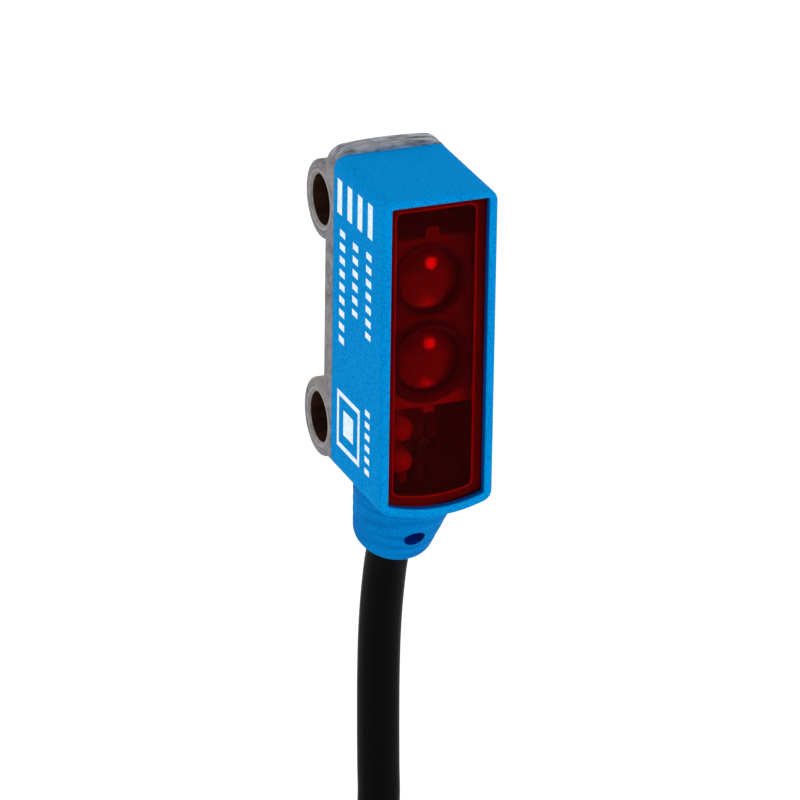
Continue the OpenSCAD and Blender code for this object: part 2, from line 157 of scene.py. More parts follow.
def add_camera():
    """Camera that sees the sensor from its left, a little from above."""
    a, e, roll = CAMERA_AZIMUTH, CAMERA_DIP, CAMERA_ROLL
    right = Vector((math.cos(a), -math.sin(a), 0))
    up = Vector((math.sin(a) * math.sin(e), math.cos(a) * math.sin(e), math.cos(e)))
    ahead = Vector((math.sin(a) * math.cos(e), math.cos(a) * math.cos(e), -math.sin(e)))
    across = math.cos(roll) * right + math.sin(roll) * up
    upright = math.cos(roll) * up - math.sin(roll) * right
    place = CAMERA_AIM - CAMERA_ACROSS * across - CAMERA_UP * upright - CAMERA_DISTANCE * ahead
    data = bpy.data.cameras.new("camera")
    data.lens = CAMERA_LENS
    data.sensor_width = CAMERA_SENSOR
    data.clip_start = CAMERA_NEAR
    camera = bpy.data.objects.new("camera", data)
    SCENE.collection.objects.link(camera)
    turn = Matrix((across, upright, -ahead)).transposed().to_4x4()
    camera.matrix_world = Matrix.Translation(place * MM) @ turn
    SCENE.camera = camera


# ---- materials ----

def new_material(name):
    """Material with one Principled shader, its node tree and that shader."""
    material = bpy.data.materials.new(name)
    material.use_nodes = True
    tree = material.node_tree
    return material, tree, tree.nodes["Principled BSDF"]


def noise(tree, size_mm, detail=3.0, stretch=None):
    """Noise whose patches are about size_mm across, in object space."""
    place = tree.nodes.new("ShaderNodeTexCoord")
    out = place.outputs["Object"]
    if stretch:
        mapping = tree.nodes.new("ShaderNodeMapping")
        mapping.inputs["Scale"].default_value = stretch
        tree.links.new(out, mapping.inputs["Vector"])
        out = mapping.outputs["Vector"]
    node = tree.nodes.new("ShaderNodeTexNoise")
    node.inputs["Scale"].default_value = 1 / (size_mm * MM)
    node.inputs["Detail"].default_value = detail
    tree.links.new(out, node.inputs["Vector"])
    return node.outputs["Fac"]


def remap(tree, value, low, high, new_low, new_high):
    """Value stretched from one range to another, clamped."""
    node = tree.nodes.new("ShaderNodeMapRange")
    for name, number in (("From Min", low), ("From Max", high), ("To Min", new_low), ("To Max", new_high)):
        node.inputs[name].default_value = number
    tree.links.new(value, node.inputs["Value"])
    return node.outputs["Result"]


def mix(tree, factor, first, second):
    """Colour between two colours, or sockets, by a factor socket."""
    node = tree.nodes.new("ShaderNodeMix")
    node.data_type = "RGBA"
    tree.links.new(factor, node.inputs[0])
    for socket, value in ((node.inputs[6], first), (node.inputs[7], second)):
        if isinstance(value, tuple):
            socket.default_value = (*value, 1)
        else:
            tree.links.new(value, socket)
    return node.outputs[2]


def bump(tree, shader, height, distance_mm, strength=1.0):
    """Bump of a height socket on a shader."""
    node = tree.nodes.new("ShaderNodeBump")
    node.inputs["Distance"].default_value = distance_mm * MM
    node.inputs["Strength"].default_value = strength
    tree.links.new(height, node.inputs["Height"])
    tree.links.new(node.outputs["Normal"], shader.inputs["Normal"])


def surface(name, light, dark, rough, grain_mm=0.12, bump_mm=0.006, patch_mm=2.5,
            metallic=0.0, specular=0.5, stretch=None):
    """Solid material with patches of two colours, uneven roughness and a fine grain."""
    material, tree, shader = new_material(name)
    grain = noise(tree, grain_mm, 4, stretch)
    patches = noise(tree, patch_mm, 3, stretch)
    blend = remap(tree, patches, 0.3, 0.7, 0, 1)
    tree.links.new(mix(tree, blend, light, dark), shader.inputs["Base Color"])
    tree.links.new(remap(tree, grain, 0.3, 0.7, rough[0], rough[1]), shader.inputs["Roughness"])
    shader.inputs["Metallic"].default_value = metallic
    shader.inputs["Specular IOR Level"].default_value = specular
    bump(tree, shader, grain, bump_mm)
    return material


def position(tree, space="Object"):
    """X, Y and Z sockets of the shaded point in a texture space."""
    place = tree.nodes.new("ShaderNodeTexCoord")
    parts = tree.nodes.new("ShaderNodeSeparateXYZ")
    tree.links.new(place.outputs[space], parts.inputs["Vector"])
    return parts.outputs


def maths(tree, operation, first, second=0):
    """Result of one maths node on two sockets or numbers."""
    node = tree.nodes.new("ShaderNodeMath")
    node.operation = operation
    for socket, value in zip(node.inputs, (first, second), strict=False):
        if isinstance(value, (int, float)):
            socket.default_value = value
        else:
            tree.links.new(value, socket)
    return node.outputs["Value"]


def near(tree, value, middle, reach):
    """1 where a value lies within reach of a middle, otherwise 0."""
    off = maths(tree, "ABSOLUTE", maths(tree, "SUBTRACT", value, middle))
    return maths(tree, "LESS_THAN", off, reach)


def blue_plastic(name, light, dark, printed=False, banded=False):
    """Spark-eroded blue plastic: a dense fine grain with darker specks, printed or banded if asked."""
    material, tree, shader = new_material(name)
    grain = noise(tree, 0.115, 1)
    specks = remap(tree, grain, 0.46, 0.62, 0, 0.6)
    patches = remap(tree, noise(tree, 3), 0.35, 0.65, 0, 1)
    base = mix(tree, patches, light, tuple(0.95 * c for c in light))
    if banded:
        bands = noise(tree, 1.4, 4, (0.22, 0.4, 2.6))
        base = mix(tree, remap(tree, bands, 0.42, 0.62, 0, 0.8), base, dark)
    base = mix(tree, specks, base, dark)
    if printed:
        base = mix(tree, print_mask(tree), base, PRINT_INK)
    tree.links.new(base, shader.inputs["Base Color"])
    tree.links.new(remap(tree, grain, 0.3, 0.7, 0.5, 0.68), shader.inputs["Roughness"])
    shader.inputs["Specular IOR Level"].default_value = 0.004
    bump(tree, shader, grain, 0.014)
    return material


# Plain print on the left side, in millimetres: middle y, middle z, width, height, pitch of the
# dashes down a column (0 for a whole bar) and the share of the pitch that a dash fills
PRINT_INK = (0.72, 0.84, 0.93)
PRINT = (
    (-3.5, 1.5, 0.8, 2.3, 0, 1), (-5.25, 1.6, 0.8, 2.3, 0, 1),
    (-7.0, 1.7, 0.8, 2.3, 0, 1), (-8.75, 1.8, 0.8, 2.3, 0, 1),
    (-4.05, -4.6, 0.9, 8.0, 0.9, 0.5), (-6.3, -3.1, 0.9, 4.9, 0.9, 0.5), (-8.6, -3.3, 0.9, 5.8, 0.9, 0.5),
    (-5.4, -11.75, 3.9, 0.35, 0, 1), (-5.4, -15.3, 3.9, 0.35, 0, 1),
    (-3.6, -13.525, 0.35, 3.9, 0, 1), (-7.2, -13.525, 0.35, 3.9, 0, 1),
    (-5.4, -13.525, 1.7, 1.7, 0, 1), (-8.7, -13.4, 0.8, 4.7, 0.8, 0.5),
)


def print_mask(tree):
    """Where the plain print lies on the left side, 0 to 1."""
    skin = 0.05
    where = position(tree)
    x, y, z = (maths(tree, "DIVIDE", where[axis], MM) for axis in "XYZ")
    total = None
    for mid_y, mid_z, width, height, pitch, share in PRINT:
        wide = near(tree, y, mid_y, width / 2)
        inside = maths(tree, "MULTIPLY", wide, near(tree, z, mid_z, height / 2))
        if pitch:
            down = maths(tree, "DIVIDE", maths(tree, "SUBTRACT", mid_z + height / 2, z), pitch)
            dash = maths(tree, "LESS_THAN", maths(tree, "FRACT", down), share)
            inside = maths(tree, "MULTIPLY", inside, dash)
        total = inside if total is None else maths(tree, "MAXIMUM", total, inside)
    worn = remap(tree, noise(tree, 0.25, 3), 0.3, 0.5, 0.75, 1)
    left = maths(tree, "LESS_THAN", x, skin - BODY_W / 2)
    return maths(tree, "MULTIPLY", maths(tree, "MULTIPLY", total, left), worn)


def cast_zinc():
    """Bead-blasted zinc: mottled grey with a faint brown tint, streaks, fine pits and a lighter, streaked
    crown.
    """
    material, tree, shader = new_material("cast_zinc")
    grain = noise(tree, 0.14, 4)
    mottle = remap(tree, noise(tree, 0.5, 5), 0.35, 0.65, 0, 1)
    tint = remap(tree, noise(tree, 2.4, 2), 0.45, 0.7, 0, 0.6)
    streaks = remap(tree, noise(tree, 0.8, 4, (1, 0.3, 1)), 0.45, 0.65, 0, 0.6)
    grey = mix(tree, mottle, (0.175, 0.175, 0.195), (0.085, 0.085, 0.1))
    grey = mix(tree, streaks, grey, (0.25, 0.25, 0.275))
    # The top of the crown is lighter, in streaks along x.
    crown_low, crown_high = 3.4 * MM, 3.8 * MM
    crown_streaks = remap(tree, noise(tree, 0.35, 4, (0.25, 1, 1)), 0.42, 0.6, 0, 1)
    on_crown = remap(tree, position(tree)["Z"], crown_low, crown_high, 0, 1)
    crown = maths(tree, "MULTIPLY", on_crown, crown_streaks)
    grey = mix(tree, crown, grey, (0.33, 0.37, 0.43))
    tree.links.new(mix(tree, tint, grey, (0.24, 0.2, 0.175)), shader.inputs["Base Color"])
    tree.links.new(remap(tree, grain, 0.3, 0.7, 0.38, 0.6), shader.inputs["Roughness"])
    shader.inputs["Metallic"].default_value = 0.85
    bump(tree, shader, grain, 0.025)
    return material


def holder_plastic():
    """Dark plastic with flow marks, and painted light: its lowest part is painted paler, as if more light
    reached it.
    """
    material, tree, shader = new_material("holder_plastic")
    grain = noise(tree, 0.1, 4)
    flow = remap(tree, noise(tree, 1.2, 3, (0.5, 1, 2)), 0.3, 0.7, 0, 1)
    # Painted light: below z -10 mm the holder turns paler.
    painted_light_start, painted_light_full = -10.0 * MM, -10.4 * MM
    pale = remap(tree, position(tree)["Z"], painted_light_start, painted_light_full, 0, 1)
    dark = mix(tree, flow, (0.075, 0.075, 0.08), (0.035, 0.035, 0.038))
    tree.links.new(mix(tree, pale, dark, (0.17, 0.17, 0.175)), shader.inputs["Base Color"])
    tree.links.new(remap(tree, grain, 0.3, 0.7, 0.35, 0.55), shader.inputs["Roughness"])
    bump(tree, shader, grain, 0.006)
    return material


def glass(name, colour, ior, specular=0.5, clear=1.0, rough=(0.015, 0.05)):
    """Clear or tinted glass with faint ripples, and a faint haze when clear is under 1."""
    material, tree, shader = new_material(name)
    ripple = noise(tree, 4, 1)
    low = tuple(0.94 * c for c in colour)
    tree.links.new(mix(tree, ripple, colour, low), shader.inputs["Base Color"])
    tree.links.new(remap(tree, ripple, 0.3, 0.7, *rough), shader.inputs["Roughness"])
    shader.inputs["IOR"].default_value = ior
    shader.inputs["Transmission Weight"].default_value = clear
    shader.inputs["Specular IOR Level"].default_value = specular
    bump(tree, shader, ripple, 0.01, 0.2)
    return material


# ---- shapes ----

def link(obj):
    """Object put into the scene."""
    SCENE.collection.objects.link(obj)
    return obj


def mesh_object(name, bm):
    """Object made of a bmesh, welded and with its faces turned outward."""
    bmesh.ops.remove_doubles(bm, verts=bm.verts, dist=1e-4)
    bmesh.ops.recalc_face_normals(bm, faces=bm.faces)
    mesh = bpy.data.meshes.new(name)
    bm.to_mesh(mesh)
    bm.free()
    return link(bpy.data.objects.new(name, mesh))


def applied(obj):
    """The same object with its modifiers made part of its mesh."""
    graph = bpy.context.evaluated_depsgraph_get()
    mesh = bpy.data.meshes.new_from_object(obj.evaluated_get(graph))
    obj.modifiers.clear()
    obj.data = mesh
    return obj


def combine(obj, other, operation):
    """obj after a boolean with other, which is used up."""
    modifier = obj.modifiers.new("combine", "BOOLEAN")
    modifier.operation = operation
    modifier.solver = "EXACT"
    modifier.object = other
    applied(obj)
    bpy.data.objects.remove(other)
    return obj


def soften(obj, width, segments=3, angle=35):
    """obj with its sharp edges rounded to width, in millimetres."""
    modifier = obj.modifiers.new("soften", "BEVEL")
    modifier.width = width
    modifier.segments = segments
    modifier.limit_method = "ANGLE"
    modifier.angle_limit = math.radians(angle)
    modifier.use_clamp_overlap = True
    return applied(obj)


def from_cad(node, name):
    """Copy of a CAD node in millimetres, with its flat faces whole."""
    bm = bmesh.new()
    bm.from_mesh(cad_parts[node].data)
    bmesh.ops.scale(bm, vec=(1 / MM,) * 3, verts=bm.verts)
    bmesh.ops.remove_doubles(bm, verts=bm.verts, dist=1e-3)
    bmesh.ops.dissolve_limit(bm, angle_limit=math.radians(1), verts=bm.verts, edges=bm.edges)
    return mesh_object(name, bm)


def present(obj, slot, material, *replaced, sharp=32):
    """Scales obj to metres, gives it its finish and puts it on the part."""
    obj.data.transform(Matrix.Scale(MM, 4))
    obj.data.materials.clear()
    obj.data.materials.append(material)
    if obj.type == "MESH":
        obj.data.shade_smooth()
        obj.data.set_sharp_from_angle(angle=math.radians(sharp))
    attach(obj, "root")
    if replaced:
        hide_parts(*replaced)
    return obj


def second_material(obj, material, chosen):
    """Another material on the faces of obj whose centre, in millimetres, is chosen."""
    obj.data.materials.append(material)
    for face in obj.data.polygons:
        if chosen(face.center / MM):
            face.material_index = 1


def dress(material, *nodes):
    """Gives CAD nodes a better material."""
    for node in nodes:
        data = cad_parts[node].data
        data.materials.clear()
        data.materials.append(material)


def arc(x, z, r, start, end, steps):
    """Points of an arc in the XZ plane, angles in degrees."""
    turns = [math.radians(start + (end - start) * k / steps) for k in range(steps + 1)]
    return [(x + r * math.cos(t), z + r * math.sin(t)) for t in turns]


CORNER_STEPS = 8
TOP_STEPS = 20
UNDER_STEPS = 28


def arched(w, top, low, under, corner, crown=None, top_corner=None):
    """Outline with an arched underside and a flat or crowned top, anticlockwise from its right side."""
    upper = top_corner or corner
    ux = w / 2 - upper
    cx = w / 2 - corner
    under_z = low + under
    low_z = under_z - math.sqrt((under - corner) ** 2 - cx * cx)
    phi = math.degrees(math.atan2(low_z - under_z, cx))
    if crown:
        crown_z = top - crown
        high_z = crown_z + math.sqrt((crown - upper) ** 2 - ux * ux)
        psi = math.degrees(math.atan2(high_z - crown_z, ux))
        over = arc(0, crown_z, crown, psi, 180 - psi, TOP_STEPS)[1:-1]
    else:
        high_z = top - upper
        psi = 90
        over = [(ux * (1 - 2 * k / TOP_STEPS), top) for k in range(1, TOP_STEPS)]
    points = arc(ux, high_z, upper, 0, psi, CORNER_STEPS) + over
    points += arc(-ux, high_z, upper, 180 - psi, 180, CORNER_STEPS)
    points += arc(-cx, low_z, corner, 180, 180 - phi, CORNER_STEPS)
    points += arc(0, under_z, under, 180 - phi, 360 + phi, UNDER_STEPS)[1:-1]
    points += arc(cx, low_z, corner, 360 + phi, 360, CORNER_STEPS)
    return points


def quarter(steps):
    """Angles of a quarter turn, in radians."""
    return [math.pi / 2 * k / steps for k in range(steps + 1)]


def body_loop(y, g=0.0):
    """Loop of the shell's outline grown by g, at depth y."""
    outline = arched(BODY_W + 2 * g, TOP_Z + g, LOW_Z - g, UNDER_R + g, EDGE_R + g)
    return [Vector((x, y, z)) for x, z in outline]


def window_loop(y, g=0.0):
    """Loop of the window's outline less g, at depth y. Its corners are never sharper than WIN_CORNER."""
    corner = max(WIN_CORNER, WIN_CORNER - g)
    outline = arched(WIN_W - 2 * g, WIN_TOP - g, WIN_LOW + g, WIN_ARC - g, corner)
    return [Vector((x, y, z)) for x, z in outline]


def ledge_loop(y, g=0.0):
    """Loop of the opening in the window's ledge less g, at depth y."""
    inset = LEDGE_W + g
    outline = arched(WIN_W - 2 * inset, WIN_TOP - inset, WIN_LOW + inset, WIN_ARC - inset, HOLE_CORNER - g)
    return [Vector((x, y, z)) for x, z in outline]


def cavity_loop(y, g=0.0):
    """Loop of the hollow in the shell less g, at depth y."""
    width = BODY_W - 2 * WALL - 2 * g
    outline = arched(width, TOP_Z - WALL - g, LOW_Z + WALL + CAVITY_RISE + g, UNDER_R - WALL - g, HOLE_CORNER)
    return [Vector((x, y, z)) for x, z in outline]


def plate_loop(y, g=0.0):
    """Loop of the metal plate's crowned outline grown by g, at depth y."""
    corners = EDGE_R + g, CROWN_R + g, CROWN_CORNER + g
    outline = arched(BODY_W + 2 * g, FRAME_HIGH.z + g, LOW_Z - g, UNDER_R + g, *corners)
    return [Vector((x, y, z)) for x, z in outline]


def loft(name, loops, closed=False):
    """Object whose skin runs through loops of points, closed into a ring or capped."""
    bm = bmesh.new()
    rows = [[bm.verts.new(p) for p in loop] for loop in loops]
    pairs = list(zip(rows, rows[1:]))
    if closed:
        pairs.append((rows[-1], rows[0]))
    for a, b in pairs:
        count = len(a)
        for i in range(count):
            j = (i + 1) % count
            bm.faces.new((a[i], a[j], b[j], b[i]))
    if not closed:
        bm.faces.new(rows[0])
        bm.faces.new(rows[-1])
    return mesh_object(name, bm)


def spun(name, profile, axis, middle, steps=96):
    """Object spun from a profile of (along, radius) pairs round an axis through middle."""
    axis = Vector(axis).normalized()
    side = axis.orthogonal().normalized()
    other = axis.cross(side)
    bm = bmesh.new()
    rows = []
    for along, radius in profile:
        centre = Vector(middle) + along * axis
        if radius == 0:
            rows.append([bm.verts.new(centre)])
            continue
        row = []
        for k in range(steps):
            t = 2 * math.pi * k / steps
            row.append(bm.verts.new(centre + radius * (math.cos(t) * side + math.sin(t) * other)))
        rows.append(row)
    open_ended = len(rows[0]) > 1
    pairs = list(zip(rows, rows[1:]))
    if open_ended:
        pairs.append((rows[-1], rows[0]))
    for a, b in pairs:
        for i in range(steps):
            j = (i + 1) % steps
            corners = [a[i % len(a)], a[j % len(a)], b[j % len(b)], b[i % len(b)]]
            whole = [v for n, v in enumerate(corners) if v not in corners[:n]]
            if len(whole) > 2:
                bm.faces.new(whole)
    return mesh_object(name, bm)


def rod(name, start, end, r, axis, middle, steps):
    """Cylinder along an axis, from start to end as measured from middle."""
    return spun(name, [(start, 0), (start, r), (end, r), (end, 0)], axis, middle, steps)


def box(name, low, high):
    """Box given by its two corners."""
    bm = bmesh.new()
    bmesh.ops.create_cube(bm, size=1)
    size = Vector(high) - Vector(low)
    middle = (Vector(high) + Vector(low)) / 2
    bmesh.ops.scale(bm, vec=size, verts=bm.verts)
    bmesh.ops.translate(bm, vec=middle, verts=bm.verts)
    return mesh_object(name, bm)


# ---- cable ----

HANG = [
    (0, -3.5, -22.2), (0, -2.75, -24), (0, -2.1, -26.5), (0, -1.65, -29.5),
    (0, -1.5, -32.5), (0, -1.55, -36), (0, -1.7, -39.5), (0, -1.85, -42.5),
    (-0.2, -1.65, -46), (-0.65, -0.95, -48.6), (-1.2, 0.25, -51.2), (-1.7, 1.8, -53.5),
    (-2.2, 3.95, -56.3), (-2.6, 6.4, -59.5), (-2.8, 9.05, -63), (-2.85, 12, -66.8),
]
TAIL = [
    (-4.3, 4.2, -70.8), (-5.3, 6.7, -74.6), (-5.7, 7.6, -79),
    (-5.7, 7.6, -83), (-5.7, 7.5, -87), (-5.7, 7.4, -90),
]
SPREAD = ((-1, 0.5), (0.15, -1), (1, 0.5))
LAYER_RADII = (20.15, 17.3, 14.45, 11.6)
STRANDS = (-2.85, 0, 2.85, 5.7, 8.55)
COIL_Y = -4
COIL_Z = -79
JOIN_ANGLE = -37.4
STEPS_A_TURN = 20
LEAD_STEPS = 8
LEAD_START = 0.5
LEAD_SIDE = 1.5
LEAD_FRONT = 1.2


def smooth(t):
    """Smooth step from 0 to 1."""
    t = min(1, max(0, t))
    return t * t * (3 - 2 * t)


def coil_moves():
    """Where the cable changes strand or layer: start and end in turns, then the new x and radius."""
    rise_start, rise_end, rise_gap, shift = 0.25, 0.03, 0.5, 0.2
    moves = []
    turn = 0.75
    for layer, radius in enumerate(LAYER_RADII):
        order = STRANDS if layer % 2 == 0 else STRANDS[::-1]
        if layer:
            moves.append((turn - rise_start, turn - rise_end, order[0], radius))
            turn += rise_gap
        for x in order[1:]:
            moves.append((turn, turn + shift, x, radius))
            turn += 1
    return moves


def coil_route():
    """Points of the coil's turns, from the hanging cable to its tail."""
    trim = 0.021
    leave = 0.4
    moves = coil_moves()
    turns = math.ceil(moves[-1][1]) + 1 - trim
    points = []
    count = int(turns * STEPS_A_TURN)
    for k in range(1, count):
        u = k / STEPS_A_TURN
        x, r = STRANDS[0], LAYER_RADII[0]
        for start, end, new_x, new_r in moves:
            step = smooth((u - start) / (end - start))
            x += step * (new_x - x)
            r += step * (new_r - r)
        x += smooth((u - turns + leave) / leave) * (TAIL[0][0] - x)
        angle = math.radians(JOIN_ANGLE + 360 * u)
        points.append((x, COIL_Y + r * math.cos(angle), COIL_Z - r * math.sin(angle)))
    return points


def strand(name, points, diameter, bevel=5):
    """Smooth curve through points, as thick as a cord, in metres."""
    curve = bpy.data.curves.new(name, "CURVE")
    curve.dimensions = "3D"
    curve.resolution_u = 4
    curve.bevel_depth = diameter * MM / 2
    curve.bevel_resolution = bevel
    curve.use_fill_caps = True
    spline = curve.splines.new("BEZIER")
    spline.bezier_points.add(len(points) - 1)
    for knot, point in zip(spline.bezier_points, points):
        knot.co = Vector(point) * MM
        knot.handle_left_type = "AUTO"
        knot.handle_right_type = "AUTO"
    return link(bpy.data.objects.new(name, curve))


def lead_points(i):
    """Route of one lead, hanging from the end of the jacket."""
    end = Vector(TAIL[-1])
    side, front = SPREAD[i]
    points = []
    for step in range(LEAD_STEPS + 1):
        x = side * (LEAD_START + LEAD_SIDE * step / LEAD_STEPS)
        y = front * (LEAD_START + LEAD_FRONT * step / LEAD_STEPS)
        points.append(end + Vector((x, y, -LEAD_LENGTH * step / LEAD_STEPS)))
    return points


def add_cable(black_jacket, cores):
    """Cable with its coil and its three leads."""
    cable = strand("sensor_cable", HANG + coil_route() + TAIL, CABLE_D)
    cable.data.materials.append(black_jacket)
    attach(cable, "root")
    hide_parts("cable_jacket", "cable_coil", "cable_tail")
    tie = add_tie()
    tips = add_tips()
    for i, colour in enumerate(("brown", "blue", "black")):
        lead = strand(colour + "_wire", lead_points(i), WIRE_D, 4)
        lead.data.materials.append(cores[i])
        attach(lead, "root")
        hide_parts(colour + "_lead")


def add_tips():
    """Tinned ends of the leads: strands twisted together, with a rounded end."""
    bm = bmesh.new()
    low, high = corners_mm("lead_tips")
    length = high.z - low.z
    sides, rings, grooves, twist = 24, 26, 5, 3.2
    tip_r, groove_depth = 0.25, 0.07
    round_start, round_loss = 0.94, 0.85
    for i in range(3):
        top = lead_points(i)[-1]
        rows = []
        for k in range(rings + 1):
            s = k / rings
            end = tip_r * (1 - round_loss * smooth((s - round_start) / (1 - round_start)))
            row = []
            for n in range(sides):
                t = 2 * math.pi * n / sides
                wave = abs(math.cos(grooves * (t / 2 + twist * s)))
                r = end * (1 - groove_depth + groove_depth * wave)
                row.append(bm.verts.new(top + Vector((r * math.cos(t), r * math.sin(t), -length * s))))
            rows.append(row)
        for a, b in zip(rows, rows[1:]):
            for n in range(sides):
                m = (n + 1) % sides
                bm.faces.new((a[n], a[m], b[m], b[n]))
        bm.faces.new(rows[0])
        bm.faces.new(rows[-1])
    tips = mesh_object("tinned_tips", bm)
    return present(tips, "solder", SOLDER, "lead_tips", sharp=60)


def add_tie():
    """Ribbed strap round the coil with its lock and its cut end."""
    strap = 0.8
    strap_half_w = 1.3
    lock_h = 1.8
    lock_half = 2
    slot_low, slot_high, slot_spare = 0.75, 1.35, 0.05
    end_low, end_high, end_out = 0.8, 1.3, 3.4
    middle_x = (TIE_LOW.x + TIE_HIGH.x) / 2
    middle_y = (TIE_LOW.y + TIE_HIGH.y) / 2
    half_x = (TIE_HIGH.x - TIE_LOW.x) / 2
    half_z = (TIE_HIGH.z - TIE_LOW.z - lock_h) / 2
    middle_z = TIE_LOW.z + half_z
    loops = []
    section = [
        (0.0, -strap_half_w), (0.0, strap_half_w), (0.25, strap_half_w),
        (0.4, 1.05), (0.4, -1.05), (0.25, -strap_half_w),
    ]
    outline = []
    corner = 1.9
    for sx, sz, start in ((1, 1, 0), (-1, 1, 90), (-1, -1, 180), (1, -1, 270)):
        cx = sx * (half_x - strap / 2 - corner)
        cz = sz * (half_z - strap / 2 - corner)
        outline += [(cx, cz, t) for t in range(start, start + 91, 10)]
    for cx, cz, t in outline:
        a = math.radians(t)
        loop = []
        for out, y in section:
            x = middle_x + cx + (corner + out) * math.cos(a)
            z = middle_z + cz + (corner + out) * math.sin(a)
            loop.append(Vector((x, middle_y + y, z)))
        loops.append(loop)
    tie = loft("tie_strap", loops, closed=True)
    top = middle_z + half_z - strap / 2
    lock = box(
        "lock", (middle_x - lock_half, middle_y - lock_half, top),
        (middle_x + lock_half, middle_y + lock_half, TIE_HIGH.z),
    )
    soften(lock, 0.45, 4)
    slot_half = strap_half_w + slot_spare
    slot_cut = box(
        "slot", (middle_x - 3, middle_y - slot_half, top + slot_low),
        (middle_x + 1.2, middle_y + slot_half, top + slot_high),
    )
    combine(lock, slot_cut, "DIFFERENCE")
    end = box(
        "end", (middle_x - end_out, middle_y - strap_half_w, top + end_low),
        (middle_x + 1, middle_y + strap_half_w, top + end_high),
    )
    soften(end, 0.1, 2)
    combine(lock, end, "UNION")
    combine(tie, lock, "UNION")
    return present(tie, "tie_plastic", TIE_PLASTIC, "coil_tie")


# ---- housing ----

def add_shell():
    """Blue shell with a rounded rim, a recessed ledge and an open back."""
    lip = 0.08
    drill_start, drill_end = 3.7, 7.7
    loops = [body_loop(SHELL_BACK), body_loop(FRONT_Y + FRONT_ROUND)]
    for t in quarter(8)[1:]:
        y = FRONT_Y + FRONT_ROUND * (1 - math.sin(t))
        loops.append(body_loop(y, -FRONT_ROUND * (1 - math.cos(t))))
    for t in quarter(4):
        y = FRONT_Y + lip * (1 - math.cos(t))
        loops.append(window_loop(y, -lip * (1 - math.sin(t))))
    loops += [window_loop(LEDGE_FRONT), ledge_loop(LEDGE_FRONT), ledge_loop(LEDGE_BACK)]
    loops += [cavity_loop(LEDGE_BACK), cavity_loop(SHELL_BACK)]
    shell = loft("blue_shell", loops, closed=True)
    drill = rod("drill", drill_start, drill_end, CABLE_D / 2, NECK_AXIS, NECK_END, 48)
    combine(shell, drill, "DIFFERENCE")
    present(shell, "blue_plastic", BLUE, "housing_shell")
    deep = FRONT_Y + lip
    # The walls and ledge of the recess round the window get a darker blue: painted shade in the recess.
    second_material(shell, RECESS_PAINTED_SHADE, lambda c: deep < c.y < LEDGE_BACK and in_opening(c))


def in_opening(point):
    """Whether a point lies in the window's opening or on its wall."""
    near_by = 0.02
    level = WIN_LOW - near_by < point.z < WIN_TOP + near_by
    return level and abs(point.x) < WIN_W / 2 + near_by


def add_neck():
    """Leaning cable outlet: a tapered stem with faint bands, a round end and a blind hole."""
    steps, rings = 64, 30
    band_h, band_count, band_start = 0.01, 4.5, 0.2
    hole_bevel, hole_deep, close_by = 0.12, 3, 0.005
    loops = []
    lean_centre = NECK_END + NECK_ROUND * NECK_AXIS
    for k in range(rings + 1):
        s = k / rings
        centre = NECK_TOP.lerp(lean_centre, s)
        tilt = NECK_LEAN * s
        band = band_h * math.sin(2 * math.pi * band_count * s) * smooth(s / band_start)
        radius = NECK_TOP_R + (NECK_END_R - NECK_TOP_R) * s + band
        loops.append(tilted_ring(centre, tilt, radius, steps))
    for t in quarter(6)[1:]:
        centre = NECK_END + NECK_ROUND * (1 - math.sin(t)) * NECK_AXIS
        loops.append(tilted_ring(centre, NECK_LEAN, NECK_END_R - NECK_ROUND * (1 - math.cos(t)), steps))
    neck = loft("outlet_neck", loops)
    body = loft("body", [body_loop(FRONT_Y - 1), body_loop(SHELL_BACK + 1)])
    combine(neck, body, "DIFFERENCE")
    bore = rod("bore", -1, 8, CABLE_D / 2, NECK_AXIS, NECK_END, 48)
    combine(neck, bore, "DIFFERENCE")
    profile = [(0, 0), (0, 0.6), (hole_bevel, HOLE_R), (hole_deep, HOLE_R), (hole_deep, 0)]
    hole = spun("hole", profile, HOLE_AXIS, HOLE_MOUTH, 40)
    combine(neck, hole, "DIFFERENCE")
    present(neck, "blue_plastic", NECK_BLUE, "cable_neck")

    def in_hole(point):
        out = Vector(point) - HOLE_MOUTH
        aside = (out - out.dot(HOLE_AXIS) * HOLE_AXIS).length
        return aside < HOLE_R + close_by and point.y < NECK_END.y

    # The inside of the blind hole gets a darker blue: painted shade in the hole.
    second_material(neck, HOLE_PAINTED_SHADE, in_hole)


def tilted_ring(centre, tilt, radius, steps):
    """Ring of points round centre, level when tilt is 0 and leaning with the neck."""
    along = Vector((0, math.cos(tilt), math.sin(tilt)))
    found = []
    for k in range(steps):
        t = 2 * math.pi * k / steps
        found.append(centre + radius * (math.cos(t) * Vector((1, 0, 0)) + math.sin(t) * along))
    return found


def add_window():
    """Red window with soft edges, and the red seal under its flange."""
    edge = 0.06
    slack = 0.02
    loops = [window_loop(FLANGE_BACK, slack), window_loop(WIN_FACE + edge, slack)]
    loops += [window_loop(WIN_FACE, slack + edge)]
    front = loops[::-1]
    step = [ledge_loop(FLANGE_BACK, 2 * slack), ledge_loop(WIN_BACK - edge, 2 * slack)]
    step += [ledge_loop(WIN_BACK, 2 * slack + edge)]
    window = loft("red_window_pane", front + step)
    present(window, "red_window", RED_GLASS, "front_window", sharp=25)
    gap = 0.02
    lip = 0.09
    loops = [
        window_loop(FLANGE_BACK + gap, slack), window_loop(LEDGE_FRONT, slack),
        ledge_loop(LEDGE_FRONT, -lip), ledge_loop(FLANGE_BACK + gap, -lip),
    ]
    seal = loft("red_gasket", loops, closed=True)
    present(seal, "red_seal", RED_SEAL, "window_seal")
    bead_r = lip / 2
    middle_y = FLANGE_BACK + gap + bead_r
    turns = [math.radians(45 * k) for k in range(8)]
    loops = [ledge_loop(middle_y + bead_r * math.sin(t), bead_r * (math.cos(t) - 1)) for t in turns]
    bead = loft("gasket_bead", loops, closed=True)
    present(bead, "red_seal", RED_LIP)


# ---- metal ----

